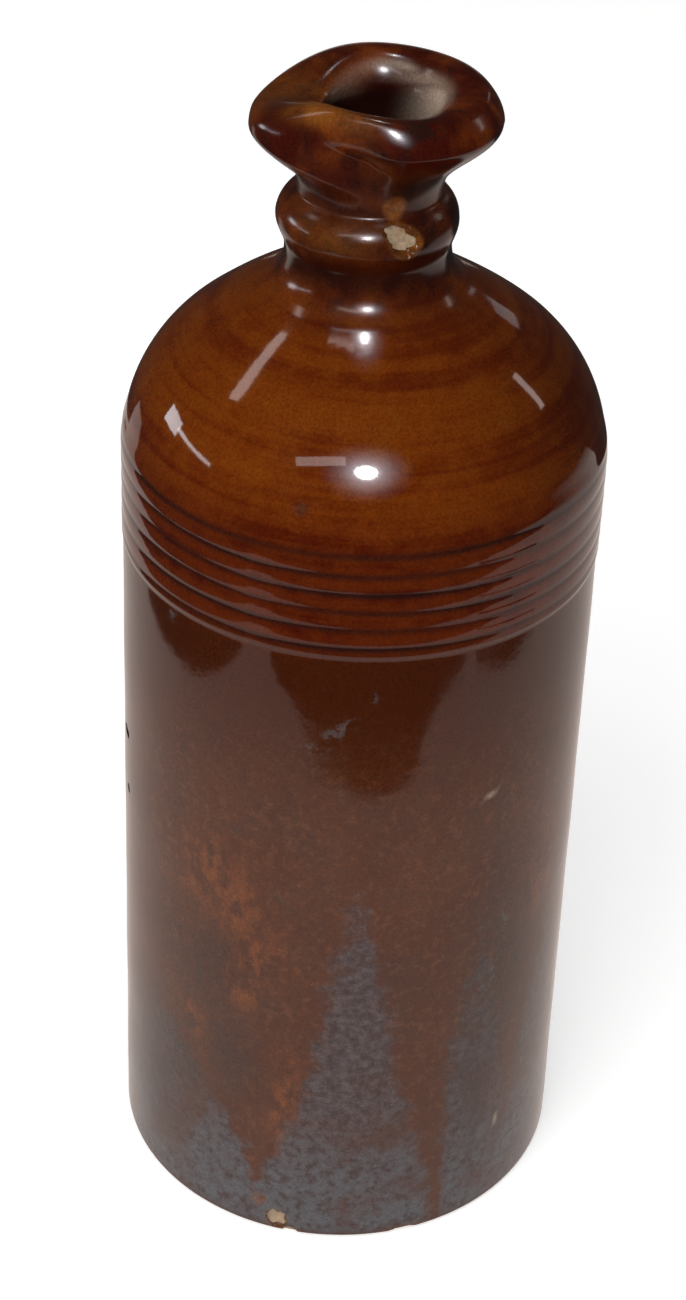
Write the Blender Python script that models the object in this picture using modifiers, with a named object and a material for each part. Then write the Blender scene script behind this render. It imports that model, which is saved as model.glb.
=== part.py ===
"""Master ink bottle: a thrown stoneware bottle, its glaze coat and its cork.

The bottle stands on the XY plane with its axis on +Z and its pouring spout towards -X.
Every size below is a real one, in metres.
"""

import math

import bmesh
import bpy

MM = 0.001

# Body
BODY_RADIUS = 47.2 * MM          # glazed wall at the foot
BODY_TAPER = 1.0 * MM            # the wall is this much slimmer where the shoulder starts
WALL_HEIGHT = 170.8 * MM         # floor to the start of the shoulder curve
WALL_THICKNESS = 6.0 * MM        # clay and glaze together
BASE_THICKNESS = 9.0 * MM
BASE_CORNER = 8.0 * MM           # rounding inside, between floor and wall
FOOT_EDGE = 0.6 * MM             # chamfer round the underside
FOOT_BARE = 0.5 * MM             # the glaze stops this far above the ground

# Shoulder
SHOULDER_CURVE = 31.0 * MM
SHOULDER_TURN = math.radians(56.4)
NECK_FILLET = 5.0 * MM

# Combed rings, counted down from the highest
RING_COUNT = 6
RING_PITCH = 4.0 * MM
RING_DEPTH = 0.7 * MM
RING_RISE = 3.1 * MM             # highest ring above the start of the shoulder curve

# Neck, collar and lip
BORE_RADIUS = 9.0 * MM
NECK_WALL = 4.4 * MM             # at the waist under the lip
NECK_SPREAD = 2.0 * MM           # the neck is this much wider below the collar
COLLAR_PROUD = 1.4 * MM
COLLAR_RISE = 11.2 * MM          # foot of the neck to the widest part of the collar
WAIST_RISE = 5.5 * MM            # collar to waist
LIP_RISE = 13.1 * MM             # waist to the widest part of the lip
LIP_OVERHANG = 9.5 * MM          # lip beyond the waist
LIP_HOLLOW = 1.6                 # how deeply the lip's underside is hollowed
LIP_CROWN = 6.8 * MM             # widest part of the lip to its crest
MOUTH_FLARE = 4.8 * MM           # crest beyond the bore
MOUTH_DEPTH = 6.0 * MM           # height of the flare above the straight bore
THROAT_GLAZE = 8.5 * MM          # glaze in the straight bore

# Pouring spout: a channel through the crest, and a thumb press beside it that ends in a slanting fold
SPOUT_ANGLE = math.radians(170.0)
SPOUT_SPREAD = math.radians(40.0)
SPOUT_DEPTH = 4.0 * MM
SPOUT_DROP = 1.8 * MM            # the lip's edge hangs this much lower at the spout
PRESS_FROM = math.radians(196.0)
PRESS_TO = math.radians(266.0)
PRESS_IN = 0.97                  # share of the overhang that the thumb takes away
PRESS_DOWN = 0.67                # share of the lip's rise that the thumb pushes its edge down
PRESS_BLEND = 0.02               # softness of the press's start
FOLD_LOW = math.radians(280.0)   # where the fold meets the waist
FOLD_HIGH = math.radians(255.0)  # and where it fades out under the crest
FOLD_START = 8.4 * MM            # height above the waist at which the fold leans over
FOLD_REACH = 8.0 * MM
FOLD_SOFT_LOW = math.radians(10.0)
FOLD_SOFT_HIGH = math.radians(78.0)
FOLD_FULL = 0.7                  # beside the fold the lip's underside is this much less hollow
FOLD_FULL_ANGLE = math.radians(284.0)
FOLD_FULL_SPREAD = math.radians(20.0)

# The mouth opens wider to one side, and its crest is lowest at the right front
MOUTH_ANGLE = math.radians(345.0)
MOUTH_SHIFT = 1.2 * MM
MOUTH_WIDEN = 1.9 * MM
CREST_DIP = 1.7 * MM
CREST_DIP_ANGLE = math.radians(318.0)
CREST_DIP_SPREAD = math.radians(45.0)

# Glaze and cork
GLAZE_THICKNESS = 0.5 * MM
GLAZE_GAP = 0.3 * MM
CORK_LENGTH = 22.0 * MM
CORK_SUNK = 16.0 * MM            # cork top below the crest of the lip
CORK_CLEARANCE = 0.3 * MM
CORK_TAPER = 0.7 * MM
CORK_CHAMFER = 0.8 * MM

# Fineness of the curves
TURN_STEPS = 36
ARC_POINTS = 7
SHORT_POINTS = 4
UNDER_POINTS = 9
MERGE = 0.01 * MM

# Places that follow from the sizes
GLAZE_INSET = GLAZE_THICKNESS + GLAZE_GAP
SHOULDER_RADIUS = BODY_RADIUS - BODY_TAPER
WAIST_RADIUS = BORE_RADIUS + NECK_WALL
NECK_RADIUS = WAIST_RADIUS + NECK_SPREAD
COLLAR_RADIUS = NECK_RADIUS + COLLAR_PROUD
LIP_RADIUS = WAIST_RADIUS + LIP_OVERHANG
CREST_RADIUS = BORE_RADIUS + MOUTH_FLARE
ARC_CENTRE = SHOULDER_RADIUS - SHOULDER_CURVE


def slope_end(curve, radius):
    """Height at which the straight slope above a shoulder curve reaches a radius."""
    arc_radius = ARC_CENTRE + curve * math.cos(SHOULDER_TURN)
    arc_height = WALL_HEIGHT + curve * math.sin(SHOULDER_TURN)
    return arc_height + (arc_radius - radius) / math.tan(SHOULDER_TURN)


NECK_FOOT = slope_end(SHOULDER_CURVE, NECK_RADIUS)
COLLAR_HEIGHT = NECK_FOOT + COLLAR_RISE
WAIST_HEIGHT = COLLAR_HEIGHT + WAIST_RISE
LIP_HEIGHT = WAIST_HEIGHT + LIP_RISE
CREST_HEIGHT = LIP_HEIGHT + LIP_CROWN
BORE_TOP = CREST_HEIGHT - MOUTH_DEPTH
GLAZE_END = BORE_TOP - THROAT_GLAZE
BORE_FOOT = slope_end(SHOULDER_CURVE - WALL_THICKNESS, BORE_RADIUS)
CORK_TOP = CREST_HEIGHT - CORK_SUNK


def ease(value):
    """Smooth step from 0 to 1."""
    value = min(1.0, max(0.0, value))
    return value * value * (3.0 - 2.0 * value)


def bell(angle, middle, spread):
    """A bump of height 1 round a direction."""
    turn = (angle - middle + math.pi) % math.tau - math.pi
    return math.exp(-(turn / spread) ** 2)


def ellipse(centre, radii, start, end, count):
    """Points (radius, height) along part of an ellipse, both ends included."""
    points = []
    for index in range(count):
        angle = start + (end - start) * index / (count - 1)
        radius = centre[0] + radii[0] * math.cos(angle)
        height = centre[1] + radii[1] * math.sin(angle)
        points.append((radius, height))
    return points


def swell(start, end, count):
    """Points from one narrow or wide place of the neck to the next, without the first."""
    points = []
    for index in range(1, count + 1):
        share = index / count
        radius = start[0] + (end[0] - start[0]) * ease(share)
        height = start[1] + (end[1] - start[1]) * share
        points.append((radius, height))
    return points


def bend(start, corner, end, count):
    """Points along a curve that leaves start towards a corner and arrives at end."""
    points = []
    for index in range(count):
        share = index / (count - 1)
        weights = ((1.0 - share) ** 2, 2.0 * share * (1.0 - share), share ** 2)
        radius = weights[0] * start[0] + weights[1] * corner[0] + weights[2] * end[0]
        height = weights[0] * start[1] + weights[1] * corner[1] + weights[2] * end[1]
        points.append((radius, height))
    return points


def body_radius_at(height):
    """Radius of the plain wall or of the shoulder curve at a height."""
    if height <= WALL_HEIGHT:
        return BODY_RADIUS - BODY_TAPER * height / WALL_HEIGHT
    rise = height - WALL_HEIGHT
    return ARC_CENTRE + math.sqrt(SHOULDER_CURVE ** 2 - rise ** 2)


def ring_band():
    """Points of the combed rings, from the lowest up: a crest, then a groove, then a crest."""
    points = []
    lowest = WALL_HEIGHT + RING_RISE - (RING_COUNT - 1) * RING_PITCH
    for index in range(2 * RING_COUNT + 1):
        height = lowest + (index - 1) * RING_PITCH / 2.0
        depth = RING_DEPTH if index % 2 else 0.0
        points.append((body_radius_at(height) - depth, height))
    return points


def lip_reach(height, edge_radius, edge_height, hollow):
    """Radius of the lip's outside at a height, for a lip whose edge is at a radius and height."""
    if height < edge_height:
        share = ease((height - WAIST_HEIGHT) / (edge_height - WAIST_HEIGHT))
        return WAIST_RADIUS + (edge_radius - WAIST_RADIUS) * share ** hollow
    climb = min(1.0, (height - edge_height) / (CREST_HEIGHT - edge_height))
    return CREST_RADIUS + (edge_radius - CREST_RADIUS) * math.sqrt(1.0 - climb ** 2)


def lip_points():
    """Points from the waist up under the lip, round its edge, over the crest and into the bore."""
    points = []
    for index in range(UNDER_POINTS):
        height = WAIST_HEIGHT + LIP_RISE * index / (UNDER_POINTS - 1)
        points.append((lip_reach(height, LIP_RADIUS, LIP_HEIGHT, LIP_HOLLOW), height))
    crown_radii = (LIP_RADIUS - CREST_RADIUS, LIP_CROWN)
    points += ellipse((CREST_RADIUS, LIP_HEIGHT), crown_radii, 0.0, math.pi / 2.0, ARC_POINTS)[1:]
    mouth_radii = (MOUTH_FLARE, MOUTH_DEPTH)
    mouth_centre = (CREST_RADIUS, BORE_TOP)
    points += ellipse(mouth_centre, mouth_radii, math.pi / 2.0, math.pi, SHORT_POINTS + 1)[1:]
    points.append((BORE_RADIUS, GLAZE_END))
    return points


def skin_profile():
    """Outline of the glazed surface, from the end of the glaze in the throat down to the foot."""
    rising = [(BODY_RADIUS, FOOT_BARE)]
    rising += ring_band()
    arc_centre = (ARC_CENTRE, WALL_HEIGHT)
    arc_radii = (SHOULDER_CURVE, SHOULDER_CURVE)
    ring_top = math.asin((RING_RISE + RING_PITCH / 2.0) / SHOULDER_CURVE)
    rising += ellipse(arc_centre, arc_radii, ring_top, SHOULDER_TURN, ARC_POINTS)[1:]
    tangent = NECK_FILLET * math.tan(SHOULDER_TURN / 2.0)
    fillet_start = (
        NECK_RADIUS + tangent * math.sin(SHOULDER_TURN),
        NECK_FOOT - tangent * math.cos(SHOULDER_TURN),
    )
    fillet_end = (NECK_RADIUS, NECK_FOOT + tangent)
    rising += bend(fillet_start, (NECK_RADIUS, NECK_FOOT), fillet_end, SHORT_POINTS)
    rising += swell(fillet_end, (COLLAR_RADIUS, COLLAR_HEIGHT), SHORT_POINTS)
    rising += swell((COLLAR_RADIUS, COLLAR_HEIGHT), (WAIST_RADIUS, WAIST_HEIGHT), SHORT_POINTS)
    rising += lip_points()[1:]
    return rising[::-1]


def hollow_profile():
    """Outline of the inside, from the middle of its floor up to the bore."""
    inner_radius = BODY_RADIUS - WALL_THICKNESS
    points = [(0.0, BASE_THICKNESS)]
    corner_centre = (inner_radius - BASE_CORNER, BASE_THICKNESS + BASE_CORNER)
    corner_radii = (BASE_CORNER, BASE_CORNER)
    points += ellipse(corner_centre, corner_radii, -math.pi / 2.0, 0.0, SHORT_POINTS)
    inner_curve = SHOULDER_CURVE - WALL_THICKNESS
    inner_centre = (ARC_CENTRE, WALL_HEIGHT)
    points += ellipse(inner_centre, (inner_curve, inner_curve), 0.0, SHOULDER_TURN, ARC_POINTS)
    points.append((BORE_RADIUS, BORE_FOOT))
    points.append((BORE_RADIUS, GLAZE_END - GLAZE_INSET))
    return points


def foot_profile():
    """Outline of the bare foot, from under the glaze to the middle of the underside."""
    foot_radius = BODY_RADIUS - GLAZE_INSET - FOOT_EDGE
    return [(foot_radius, 0.0), (0.0, 0.0)]


def cork_profile():
    """Outline of the cork about its own middle, from the top face to the bottom face."""
    half = CORK_LENGTH / 2.0
    top_radius = BORE_RADIUS - CORK_CLEARANCE
    low_radius = top_radius - CORK_TAPER
    return [
        (0.0, half),
        (top_radius - CORK_CHAMFER, half),
        (top_radius, half - CORK_CHAMFER),
        (low_radius, CORK_CHAMFER - half),
        (low_radius - CORK_CHAMFER, -half),
        (0.0, -half),
    ]


def turned_mesh(name, profile, glazed=()):
    """Turn a profile round the Z axis. Points with an index in glazed go in a vertex group."""
    mesh = bpy.data.meshes.new(name + "_profile")
    builder = bmesh.new()
    verts = [builder.verts.new((radius, 0.0, height)) for radius, height in profile]
    for first, second in zip(verts, verts[1:]):
        builder.edges.new((first, second))
    builder.to_mesh(mesh)
    builder.free()
    source = bpy.data.objects.new(name + "_profile", mesh)
    bpy.context.scene.collection.objects.link(source)
    if glazed:
        group = source.vertex_groups.new(name="glazed")
        group.add(list(glazed), 1.0, "REPLACE")
    screw = source.modifiers.new("Turn", "SCREW")
    screw.axis = "Z"
    screw.steps = TURN_STEPS
    screw.render_steps = TURN_STEPS
    screw.use_merge_vertices = True
    screw.merge_threshold = MERGE
    depsgraph = bpy.context.evaluated_depsgraph_get()
    turned = bpy.data.meshes.new_from_object(source.evaluated_get(depsgraph))
    turned.name = name
    bpy.data.objects.remove(source)
    bpy.data.meshes.remove(mesh)
    return turned


def pressed_lip(angle, height):
    """Radius of the lip's outside with the spout and the thumb press, at an angle and height."""
    edge_height = LIP_HEIGHT - SPOUT_DROP * bell(angle, SPOUT_ANGLE, SPOUT_SPREAD)
    hollow = LIP_HOLLOW - FOLD_FULL * bell(angle, FOLD_FULL_ANGLE, FOLD_FULL_SPREAD)
    full = lip_reach(height, LIP_RADIUS, edge_height, hollow)
    share = (angle - PRESS_FROM) / (PRESS_TO - PRESS_FROM)
    share = min(1.0, (share + math.sqrt(share ** 2 + PRESS_BLEND)) / 2.0)
    dent_radius = LIP_RADIUS - PRESS_IN * LIP_OVERHANG * share
    dent_height = edge_height - PRESS_DOWN * LIP_RISE * share
    dent = lip_reach(height, dent_radius, dent_height, LIP_HOLLOW)
    climb = ease((height - WAIST_HEIGHT - FOLD_START) / FOLD_REACH)
    fold = FOLD_LOW + (FOLD_HIGH - FOLD_LOW) * climb
    softness = FOLD_SOFT_LOW + (FOLD_SOFT_HIGH - FOLD_SOFT_LOW) * climb
    return dent + (full - dent) * ease((angle - fold) / softness + 0.5)


def shape_spout(mesh):
    """Press the lip in beside the spout, open the mouth to one side and sink the pouring channel."""
    for vertex in mesh.vertices:
        x, y, height = vertex.co
        radius = math.hypot(x, y)
        if height <= WAIST_HEIGHT + MERGE or radius < MERGE:
            continue
        angle = math.atan2(y, x) % math.tau
        if radius > WAIST_RADIUS:
            crown = ease((LIP_RADIUS - radius) / (LIP_RADIUS - CREST_RADIUS))
            shifted = crown if height > LIP_HEIGHT else 0.0
            widened = shifted
            radius = pressed_lip(angle, height)
        else:
            shifted = (radius - BORE_RADIUS) / MOUTH_FLARE
            widened = ease((height - GLAZE_END) / (CREST_HEIGHT - GLAZE_END))
        radius += MOUTH_WIDEN * widened * (1.0 + math.cos(angle - MOUTH_ANGLE)) / 2.0
        if height > LIP_HEIGHT:
            sunk = SPOUT_DEPTH * bell(angle, SPOUT_ANGLE, SPOUT_SPREAD)
            sunk += CREST_DIP * bell(angle, CREST_DIP_ANGLE, CREST_DIP_SPREAD)
            height -= sunk * (height - LIP_HEIGHT) / LIP_CROWN
        offset = MOUTH_SHIFT * shifted
        vertex.co = (
            radius * math.cos(angle) + offset * math.cos(MOUTH_ANGLE),
            radius * math.sin(angle) + offset * math.sin(MOUTH_ANGLE),
            height,
        )


def finish_material(name, colour, roughness):
    """A Principled material with one colour and roughness."""
    material = bpy.data.materials.new(name)
    material.use_nodes = True
    shader = material.node_tree.nodes["Principled BSDF"]
    shader.inputs["Base Color"].default_value = (*colour, 1.0)
    shader.inputs["Roughness"].default_value = roughness
    shader.inputs["Metallic"].default_value = 0.0
    return material


def add_part(name, mesh, material, collection):
    """Put a mesh in the scene as a smooth-shaded object of its own."""
    mesh.materials.clear()
    mesh.materials.append(material)
    mesh.shade_smooth()
    mesh.set_sharp_from_angle(angle=math.radians(40.0))
    part = bpy.data.objects.new(name, mesh)
    collection.objects.link(part)
    return part


def make_clay(collection):
    """The thrown body: its hollow, its outside drawn in by the glaze's depth, and its bare foot."""
    hollow = hollow_profile()
    skin = skin_profile()
    profile = hollow + skin + foot_profile()
    glazed = range(len(hollow), len(hollow) + len(skin))
    mesh = turned_mesh("stoneware_body", profile, glazed)
    shape_spout(mesh)
    clay = finish_material("fired clay", (0.52, 0.36, 0.20), 0.85)
    part = add_part("stoneware_body", mesh, clay, collection)
    inset = part.modifiers.new("Under the glaze", "DISPLACE")
    inset.direction = "NORMAL"
    inset.mid_level = 0.0
    inset.strength = -GLAZE_INSET
    inset.vertex_group = "glazed"
    return part


def make_glaze(collection):
    """The glaze: a thin shell over the outside, the lip and the upper throat."""
    mesh = turned_mesh("glaze_coat", skin_profile())
    shape_spout(mesh)
    glaze = finish_material("brown glaze", (0.13, 0.045, 0.015), 0.12)
    part = add_part("glaze_coat", mesh, glaze, collection)
    shell = part.modifiers.new("Glaze depth", "SOLIDIFY")
    shell.thickness = GLAZE_THICKNESS
    shell.offset = -1.0
    return part


def make_cork(collection):
    """The cork, with its origin on its own axis, seated in the bore below the lip."""
    mesh = turned_mesh("cork_stopper", cork_profile())
    cork = finish_material("cork", (0.42, 0.26, 0.13), 0.9)
    part = add_part("cork_stopper", mesh, cork, collection)
    part.location = (0.0, 0.0, CORK_TOP - CORK_LENGTH / 2.0)
    return part


def main():
    for item in list(bpy.data.objects):
        bpy.data.objects.remove(item)
    bottle = bpy.data.collections.new("master_ink_bottle")
    bpy.context.scene.collection.children.link(bottle)
    make_clay(bottle)
    make_glaze(bottle)
    make_cork(bottle)


main()
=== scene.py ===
"""Master ink bottle: the looks of the glazed stoneware bottle and its cork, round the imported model.

The bottle stands on the XY plane with its axis on +Z and its pouring spout towards -X.
Lengths are in metres, and angles go round +Z from +X.
"""

import math

import bmesh
import bpy
import numpy as np
from mathutils import Matrix, Vector, noise


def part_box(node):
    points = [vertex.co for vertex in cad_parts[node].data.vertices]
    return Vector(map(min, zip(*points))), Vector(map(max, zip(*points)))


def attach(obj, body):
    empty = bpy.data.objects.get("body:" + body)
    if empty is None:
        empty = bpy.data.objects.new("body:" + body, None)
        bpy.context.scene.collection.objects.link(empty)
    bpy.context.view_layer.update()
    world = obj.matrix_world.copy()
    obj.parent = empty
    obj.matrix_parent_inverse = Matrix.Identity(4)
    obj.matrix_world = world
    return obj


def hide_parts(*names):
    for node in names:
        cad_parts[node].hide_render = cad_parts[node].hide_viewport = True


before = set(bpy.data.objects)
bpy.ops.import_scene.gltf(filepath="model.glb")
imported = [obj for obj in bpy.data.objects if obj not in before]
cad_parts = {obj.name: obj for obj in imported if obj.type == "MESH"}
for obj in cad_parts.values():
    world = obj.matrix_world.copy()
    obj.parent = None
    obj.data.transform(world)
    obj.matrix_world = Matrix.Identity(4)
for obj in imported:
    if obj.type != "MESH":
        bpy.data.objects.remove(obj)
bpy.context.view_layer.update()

MM = 0.001
DEGREE = math.radians(1.0)

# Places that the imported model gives
SKIN_LOW, SKIN_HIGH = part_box("glaze_coat")
CORK_LOW, CORK_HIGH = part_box("cork_stopper")
BODY_RADIUS = SKIN_HIGH.x
FOOT_BARE = SKIN_LOW.z
CREST_HEIGHT = SKIN_HIGH.z

# Body and shoulder
BODY_TAPER = 1.0 * MM
WALL_HEIGHT = 170.8 * MM
WALL_THICKNESS = 6.0 * MM
BASE_THICKNESS = 9.0 * MM
BASE_CORNER = 8.0 * MM
FOOT_EDGE = 0.6 * MM
FOOT_ROUND = 0.7 * MM
SHOULDER_CURVE = 31.0 * MM
SHOULDER_TURN = 56.4 * DEGREE
SLOPE_START = 51.0 * DEGREE  # turn at which a flatter curve takes over
NECK_FILLET = 10.0 * MM

# Combed rings
RING_COUNT = 6
RING_PITCH = 4.0 * MM
RING_RISE = 3.1 * MM  # highest ring above the start of the shoulder curve
RING_DEPTH = 0.07 * MM  # the glaze nearly fills the incised lines
RING_WIDTH = 0.75 * MM  # half width of a line where it is a third deep
RING_SWELL = 0.03 * MM  # the ridges between the lines bulge this much
RING_WANDER = 0.2 * MM  # the lines rise and fall this much round the bottle
BAND_PROUD = 0.25 * MM  # the ringed band stands this far out from the wall below
BAND_EDGE = 1.5 * MM

# Neck, collar and lip. A place round the lip is an angle and a spread.
BORE_RADIUS = 9.0 * MM
NECK_WALL = 4.4 * MM
NECK_SPREAD = 2.0 * MM
COLLAR_PROUD = 1.4 * MM
COLLAR_RISE = 11.2 * MM
WAIST_RISE = 5.5 * MM
LIP_RISE = 13.1 * MM
LIP_OVERHANG = 9.5 * MM
COLLAR_ROUND = 5.9 * MM  # radius of the collar's bulge
COLLAR_DROP = 0.5 * MM  # the bulge is widest this far below the collar's mean height
COLLAR_TURN = 58.0 * DEGREE
LIP_HOLLOW = 1.6  # how deeply the lip's underside is hollowed
EDGE_SHARP = 0.8  # how sharply the lip's edge turns under at the front
EDGE_POWER = 1.7  # shape of the lip's underside where its edge is sharp
EDGE_SHARP_PLACE = (288.0 * DEGREE, 36.0 * DEGREE)
LIP_TRIM = 3.6 * MM  # the lip reaches this much less far at the front
LIP_TRIM_PLACE = (270.0 * DEGREE, 48.0 * DEGREE)
MOUTH_FLARE = 4.8 * MM
MOUTH_DEPTH = 6.0 * MM
THROAT_GLAZE = 8.5 * MM

# Pouring spout: a channel through the crest, and a thumb press beside it that ends in a slanting fold
SPOUT_PLACE = (170.0 * DEGREE, 40.0 * DEGREE)
SPOUT_DEPTH = 4.0 * MM
SPOUT_DROP = 1.8 * MM  # the lip's edge hangs this much lower at the spout
PRESS_FROM = 196.0 * DEGREE
PRESS_TO = 266.0 * DEGREE
PRESS_IN = 0.97  # share of the overhang that the thumb takes away
PRESS_DOWN = 0.67  # share of the lip's rise that the thumb pushes its edge down
PRESS_BLEND = 0.02  # softness of the press's start
FOLD_LOW = 280.0 * DEGREE  # where the fold meets the waist
FOLD_HIGH = 255.0 * DEGREE  # and where it fades out under the crest
FOLD_START = 8.4 * MM  # height above the waist at which the fold leans over
FOLD_REACH = 8.0 * MM
FOLD_SOFT_LOW = 15.0 * DEGREE
FOLD_SOFT_HIGH = 78.0 * DEGREE
FOLD_FULL = 0.7  # beside the fold the lip's underside is this much less hollow
FOLD_FULL_PLACE = (284.0 * DEGREE, 20.0 * DEGREE)

# The mouth opens wider to one side, and its crest is lowest at the right front
MOUTH_ANGLE = 345.0 * DEGREE
MOUTH_SHIFT = 1.2 * MM
MOUTH_WIDEN = 1.9 * MM
MOUTH_MIDDLE = (3.0 * MM, -1.0 * MM)
MOUTH_RING = 10.6 * MM  # the mouth's rim is about this far from its middle
SHEEN_INSET = 0.8 * MM  # a painted pale sheen, standing in for a reflection, lies this far inside the rim on the right
SHEEN_WIDEN = 2.5 * MM  # and this much further out at the back
CREST_BAND = 7.0 * MM  # marks on the crest reach this far down from its top
CREST_DIP = 1.7 * MM
CREST_DIP_ANGLE = 318.0 * DEGREE
CREST_DIP_SPREAD = 45.0 * DEGREE
CREST_LIFT = 0.9 * MM  # and it is highest at the back
CREST_LIFT_PLACE = (118.0 * DEGREE, 40.0 * DEGREE)

# Hand-made unevenness
OVAL = 0.22 * MM  # the wall is this much out of round
OVAL_TURN = 1.1
THROW_DEPTH = 0.025 * MM  # finger waves up the wall
THROW_PITCH = 26.0 * MM
THROW_SECOND = 4.1  # a second wave turns this many radians in one pitch

# Glaze and clay
GLAZE_DEPTH = 0.78 * MM
CLAY_INSET = 0.80 * MM

# Fineness of the meshes
TURN_STEPS = 300
WALL_STEP = 1.2 * MM
BAND_STEP = 0.22 * MM
CURVE_STEP = 0.7 * MM
FOOT_ROWS, FILLET_ROWS, COLLAR_ROWS, WAIST_ROWS = 7, 12, 14, 8
LIP_ROWS, MOUTH_ROWS, THROAT_ROWS = 34, 20, 9
INNER_EVERY = 7  # every so many rows of the skin has a row on the glaze's inner face

# Places that follow from the sizes
SHOULDER_RADIUS = BODY_RADIUS - BODY_TAPER
ARC_CENTRE = SHOULDER_RADIUS - SHOULDER_CURVE
WAIST_RADIUS = BORE_RADIUS + NECK_WALL
NECK_RADIUS = WAIST_RADIUS + NECK_SPREAD
COLLAR_RADIUS = NECK_RADIUS + COLLAR_PROUD
LIP_RADIUS = WAIST_RADIUS + LIP_OVERHANG
CREST_RADIUS = BORE_RADIUS + MOUTH_FLARE


def slope_end(curve, radius):
    """Height at which the straight slope above a shoulder curve reaches a radius."""
    arc_radius = ARC_CENTRE + curve * math.cos(SHOULDER_TURN)
    arc_height = WALL_HEIGHT + curve * math.sin(SHOULDER_TURN)
    return arc_height + (arc_radius - radius) / math.tan(SHOULDER_TURN)


NECK_FOOT = slope_end(SHOULDER_CURVE, NECK_RADIUS)
COLLAR_HEIGHT = NECK_FOOT + COLLAR_RISE
WAIST_HEIGHT = COLLAR_HEIGHT + WAIST_RISE
LIP_HEIGHT = WAIST_HEIGHT + LIP_RISE
LIP_CROWN = CREST_HEIGHT - LIP_HEIGHT
BORE_TOP = CREST_HEIGHT - MOUTH_DEPTH
GLAZE_END = BORE_TOP - THROAT_GLAZE
BORE_FOOT = slope_end(SHOULDER_CURVE - WALL_THICKNESS, BORE_RADIUS)
RING_TOP = WALL_HEIGHT + RING_RISE
RING_LOW = RING_TOP - (RING_COUNT - 1) * RING_PITCH
BAND_LOW = RING_LOW - RING_PITCH / 2.0
BAND_TOP = RING_TOP + RING_PITCH / 2.0

# Sideways lean of the thrown shape along X, by height
SHOULDER_LEAN_RISE = 26.0 * MM
LEAN_HEIGHTS = (
    0.0, WALL_HEIGHT, WALL_HEIGHT + SHOULDER_LEAN_RISE, COLLAR_HEIGHT, LIP_HEIGHT, CREST_HEIGHT,
)
LEAN_SHIFTS = (0.0, 0.4 * MM, 0.5 * MM, -0.7 * MM, 0.25 * MM, 0.25 * MM)

# Grey glaze tongues that reach up from the foot: rows of (height in mm, left angle, right angle)
TONGUES = (
    (
        (98, 271, 275), (82, 268, 280), (57, 265, 284), (45, 262, 286), (34, 260, 289), (14, 250, 295),
        (4, 245, 297),
    ),
    ((82, 306, 309), (62, 302, 313), (45, 299.5, 317), (30, 299.5, 320), (4, 300, 324)),
    ((60, 200, 210), (40, 194, 232), (24, 190, 247), (4, 186, 250)),
    ((72, 334, 340), (52, 325, 345), (30, 320, 352), (4, 317, 360)),
    ((60, 22, 25), (40, 16, 31), (20, 9, 38), (4, 0, 44)),
    ((92, 68, 72), (66, 62, 78), (40, 58, 83), (18, 53, 90), (4, 46, 97)),
    ((52, 112, 115), (32, 107, 122), (14, 101, 129), (4, 97, 134)),
    ((80, 152, 156), (56, 147, 161), (32, 142, 167), (12, 136, 175), (4, 134, 190)),
)
TONGUE_SOFTNESS = 4.2 * MM
TONGUE_POINT = 0.6  # how steeply a tongue starts at its tip
TONGUE_TIP = 0.55  # strength of a tongue at its tip
TONGUE_FADE = 60.0 * MM  # a tongue has its full strength this far below its tip

# Patches in the glaze: (angle, height in mm, half width in degrees, half height in mm)
FLECK_PATCHES = (
    (234, 93, 7, 10), (242, 88, 8, 9), (249, 76, 6, 8), (245, 66, 5, 6), (230, 51, 4, 8), (257, 36, 4, 14),
    (330, 88, 9, 14), (40, 84, 12, 18), (120, 76, 10, 16), (185, 96, 8, 14),
)
SHADE_PATCHES = (
    (234, 66, 9, 15), (241, 48, 9, 14), (226, 40, 10, 14), (316, 70, 10, 20), (60, 60, 14, 24),
    (140, 70, 16, 22), (242.5, 106.7, 1.8, 1.0), (256.4, 181.5, 1.5, 1.0), (309, 40, 7, 24),
    (216, 30, 12, 26),
)
SCUFF_PATCHES = (
    (269.5, 137.0, 1.5, 1.2), (267.3, 135.2, 1.7, 1.3), (265.0, 134.0, 1.6, 1.0), (262.0, 130.5, 2.6, 1.0),
    (274.4, 142.9, 1.2, 1.2), (311.3, 68.4, 1.0, 4.0), (314, 81, 1.2, 4.0), (222, 150, 1.2, 1.2),
)

# Camera
PHOTO_HEIGHT = 1300
FOCAL_PIXELS = 2653.056
SENSOR = 36.0
CAMERA_PLACE = (0.0, -0.440578, 0.431398)
CAMERA_PITCH = 0.6132033
CAMERA_YAW = -0.00484093
CAMERA_ROLL = 0.03758468


# Shapes

def ease(value):
    """Smooth step from 0 to 1."""
    value = np.clip(value, 0.0, 1.0)
    return value * value * (3.0 - 2.0 * value)


def turn_between(first, second):
    """Signed difference of two angles."""
    return (first - second + math.pi) % math.tau - math.pi


def bell(value, middle, width):
    """A bump of height 1 round a middle."""
    return np.exp(-((value - middle) / width) ** 2)


def arc(centre, radii, start, end, count):
    """Points (radius, height) along part of an ellipse, both ends included."""
    angle = np.linspace(start, end, count)
    return np.stack([centre[0] + radii[0] * np.cos(angle), centre[1] + radii[1] * np.sin(angle)], axis=1)


def swell(start, end, count):
    """Points from one width of the neck to the next, without the first."""
    share = np.linspace(0.0, 1.0, count + 1)[1:]
    radius = start[0] + (end[0] - start[0]) * ease(share)
    return np.stack([radius, start[1] + (end[1] - start[1]) * share], axis=1)


def bend(start, corner, end, count):
    """Points along a curve from start to end that bends at a corner."""
    share = np.linspace(0.0, 1.0, count)[:, None]
    start, corner, end = np.array(start), np.array(corner), np.array(end)
    return (1.0 - share) ** 2 * start + 2.0 * share * (1.0 - share) * corner + share ** 2 * end


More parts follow.
